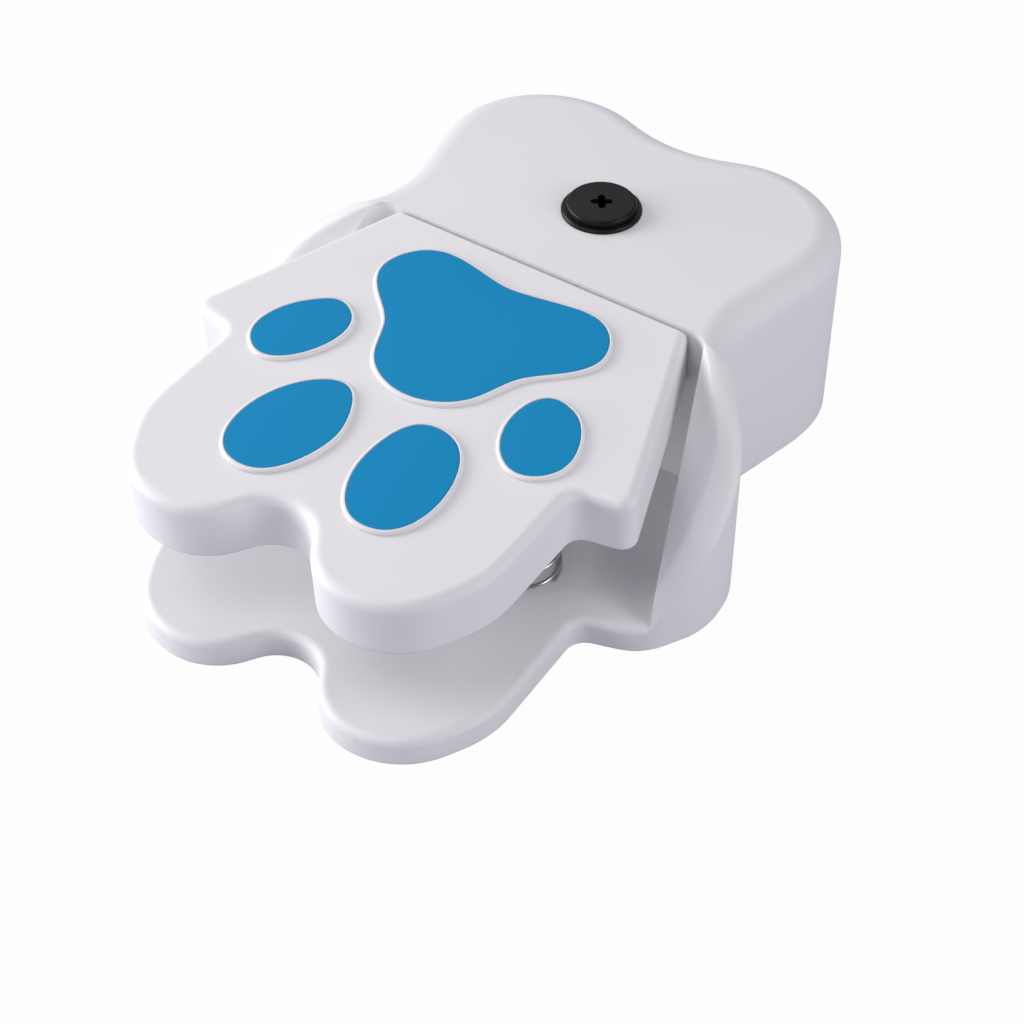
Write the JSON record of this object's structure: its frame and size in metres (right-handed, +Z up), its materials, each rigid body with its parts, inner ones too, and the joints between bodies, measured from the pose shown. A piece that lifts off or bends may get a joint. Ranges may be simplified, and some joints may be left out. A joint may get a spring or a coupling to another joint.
{
  "type": "step-on dog water fountain",
  "caption": "Paw-shaped outdoor pet fountain: a sprung foot pedal with raised pads pushes a valve that feeds an upright nozzle from a hose inlet at the back.",
  "frame": {"origin": "middle of the footprint, on the ground under the rubber feet", "axes": "+Z up, the toes and the user's side at -Y, the nozzle and the hose inlet at +Y, X across; X = 0 is the mirror plane"},
  "size_m": [0.1948, 0.25, 0.0787],
  "materials": {
    "white_abs": "satin gloss",
    "grey_abs": "matt",
    "blue_tpe": "matt",
    "black_abs": "satin",
    "black_rubber": "matt",
    "clear_vinyl": "gloss",
    "stainless_steel": "satin",
    "spring_steel": "bright",
    "brass": "satin"
  },
  "bodies": {
    "base": {"body_shell": "white_abs", "bottom_cover": "white_abs", "cover_screws": "stainless_steel", "rubber_feet": "black_rubber", "hinge_pin": "stainless_steel", "hinge_clips": "spring_steel", "valve_body": "grey_abs", "valve_gland": "grey_abs", "valve_spring": "spring_steel", "valve_screws": "stainless_steel", "supply_tube": "clear_vinyl", "riser_tube": "clear_vinyl", "tube_clamps": "stainless_steel", "inlet_fitting": "brass", "inlet_gasket": "black_rubber", "inlet_nut": "brass", "nozzle_body": "black_abs", "nozzle_cap": "black_abs", "nozzle_washer": "black_rubber", "nozzle_nut": "black_abs", "return_spring_right": "spring_steel", "return_spring_left": "spring_steel"},
    "pedal": {"pedal_shell": "white_abs", "pedal_underplate": "white_abs", "pedal_screws": "stainless_steel", "main_pad": "blue_tpe", "inner_toe_pad_right": "blue_tpe", "inner_toe_pad_left": "blue_tpe", "outer_toe_pad_right": "blue_tpe", "outer_toe_pad_left": "blue_tpe"},
    "plunger": {"valve_plunger": "black_abs", "plunger_seal": "black_rubber"}
  },
  "joints": [
    {"name": "pedal_hinge", "type": "hinge", "parent": "base", "child": "pedal", "pos_m": [0, 0.0215, 0.056], "axis": [1, 0, 0], "range_deg": [0, 8], "stiffness_Nm_per_rad": 13.7, "springref_deg": -2.86, "deforming": ["return_spring_right", "return_spring_left"]},
    {"name": "plunger_slide", "type": "slide", "parent": "base", "child": "plunger", "axis": [0, 1, 0], "range_m": [0, 0.0026], "deforming": ["valve_spring"]}
  ],
  "couplings": [
    {"joint": "plunger_slide", "follows": "pedal_hinge", "m_per_rad": 0.018}
  ]
}
